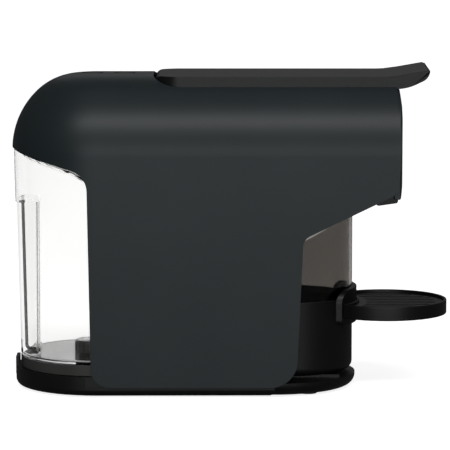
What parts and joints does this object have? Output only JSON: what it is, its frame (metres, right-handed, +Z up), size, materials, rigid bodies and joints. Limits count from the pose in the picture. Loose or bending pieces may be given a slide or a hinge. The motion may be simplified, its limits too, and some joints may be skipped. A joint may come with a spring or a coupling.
{
  "type": "pod coffee machine",
  "caption": "Slim single-serve pod coffee machine with a painted arched housing, rear water tank, top lever, front spout and a used-pod bin that carries a drip tray.",
  "frame": {"origin": "on the table under the centre of the box around the whole machine", "axes": "+X to the spout and drip tray at the front, +Y to the side away from the view, +Z up"},
  "size_m": [0.3279, 0.129, 0.2429],
  "materials": {
    "painted": "satin",
    "panel": "satin",
    "black": "satin",
    "clear": "gloss",
    "smoked": "gloss",
    "grey": "satin",
    "chassis": "matte",
    "steel": "brushed",
    "aluminium": "cast",
    "brass": "satin",
    "rubber": "matte",
    "silicone": "satin",
    "board": "satin"
  },
  "bodies": {
    "housing": {"main_housing": "painted", "front_panel": "panel", "underside_panel": "black", "spout": "black", "top_deck": "black", "lever_hinge_pin": "steel", "injector_plate": "chassis", "injector_needles": "steel", "pod_chute": "chassis", "side_frames": "chassis", "rear_wall": "chassis", "middle_wall": "chassis", "board_bracket": "chassis", "control_board": "board", "board_switches": "black", "base": "black", "bottom_cover": "black", "base_screws": "steel", "rubber_feet": "rubber", "cord_gland": "rubber", "tank_dock": "chassis", "thermoblock": "aluminium", "thermostat": "steel", "thermal_fuse": "steel", "pump_body": "brass", "pump_coil": "black", "pump_mounts": "rubber", "pump_cradle": "chassis", "flow_meter_body": "chassis", "relief_valve": "brass", "hose_dock": "silicone", "hose_meter": "silicone", "hose_pump": "silicone", "hose_heater": "silicone"},
    "lever": {"lever_cover": "black", "cam_plates": "steel"},
    "carriage": {"brew_carriage": "chassis", "draw_bars": "steel"},
    "tank": {"water_tank": "clear", "tank_lid": "clear", "tank_foot_ring": "grey", "tank_valve_body": "grey", "tank_filter": "steel"},
    "valve_plunger": {"tank_valve_plunger": "grey"},
    "bin": {"bin_cup": "black", "bin_smoked_shell": "smoked", "pod_basket": "black", "tray_bracket": "black"},
    "tray": {"drip_tray": "black"},
    "grille": {"drip_grille": "black"},
    "piston": {"pump_piston": "steel"},
    "impeller": {"flow_impeller": "grey"},
    "short_button": {"button_short": "black"},
    "long_button": {"button_long": "black"}
  },
  "joints": [
    {"name": "lever_hinge", "type": "hinge", "parent": "housing", "child": "lever", "pos_m": [-0.044, 0, 0.232], "axis": [0, -1, 0], "range_deg": [0, 80]},
    {"name": "carriage_slide", "type": "slide", "parent": "housing", "child": "carriage", "axis": [1, 0, 0], "range_m": [0, 0.0181]},
    {"name": "tank_tilt", "type": "hinge", "parent": "housing", "child": "tank", "pos_m": [-0.16, 0, 0.0234], "axis": [0, -1, 0], "range_deg": [0, 25]},
    {"name": "plunger_slide", "type": "slide", "parent": "tank", "child": "valve_plunger", "axis": [0, 0, 1], "range_m": [-0.0016, 0]},
    {"name": "bin_slide", "type": "slide", "parent": "housing", "child": "bin", "axis": [1, 0, 0], "range_m": [0, 0.11]},
    {"name": "tray_lift", "type": "slide", "parent": "bin", "child": "tray", "axis": [0, 0, 1], "range_m": [0, 0.06]},
    {"name": "grille_lift", "type": "slide", "parent": "tray", "child": "grille", "axis": [0, 0, 1], "range_m": [0, 0.03]},
    {"name": "piston_slide", "type": "slide", "parent": "housing", "child": "piston", "axis": [0, 0, 1], "range_m": [-0.003, 0.003], "stiffness_N_per_m": 1500},
    {"name": "impeller_spin", "type": "hinge", "parent": "housing", "child": "impeller", "pos_m": [-0.024, 0, 0.025], "axis": [0, 0, 1], "continuous": true},
    {"name": "short_press", "type": "slide", "parent": "housing", "child": "short_button", "axis": [0, 0, -1], "range_m": [0, 0.0014], "stiffness_N_per_m": 800},
    {"name": "long_press", "type": "slide", "parent": "housing", "child": "long_button", "axis": [0, 0, -1], "range_m": [0, 0.0014], "stiffness_N_per_m": 800}
  ],
  "couplings": [
    {"joint": "carriage_slide", "follows": "lever_hinge", "m_per_rad": 0.012892},
    {"joint": "plunger_slide", "follows": "tank_tilt", "m_per_rad": -0.0034377}
  ]
}
